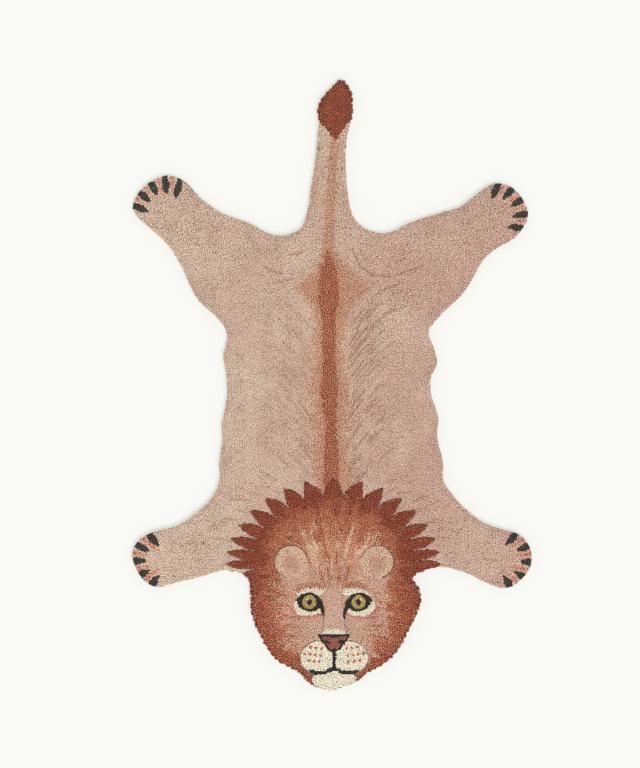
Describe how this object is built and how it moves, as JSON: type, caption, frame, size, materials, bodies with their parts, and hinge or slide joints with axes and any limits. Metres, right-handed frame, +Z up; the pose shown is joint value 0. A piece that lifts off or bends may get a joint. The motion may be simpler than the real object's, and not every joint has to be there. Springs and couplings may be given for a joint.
{
  "type": "lion shaped kids rug",
  "caption": "Small flat children's floor rug in the shape of a lion's hide, hand-tufted in cut wool pile, with a round mane, four spread paws and a tufted tail.",
  "frame": {"origin": "on the underside, in the middle of the rug's length and width", "axes": "+Z up out of the pile, +Y along the spine towards the tail, +X towards the picture's right; the head points to -Y"},
  "size_m": [0.602, 0.92, 0.014],
  "materials": {
    "wool_pile": "matte cut wool pile, beige-pink with rust, cream, coral and near-black yarns",
    "backing_cloth": "matte woven cotton"
  },
  "bodies": {
    "root": {"rug": "wool_pile"}
  },
  "joints": []
}
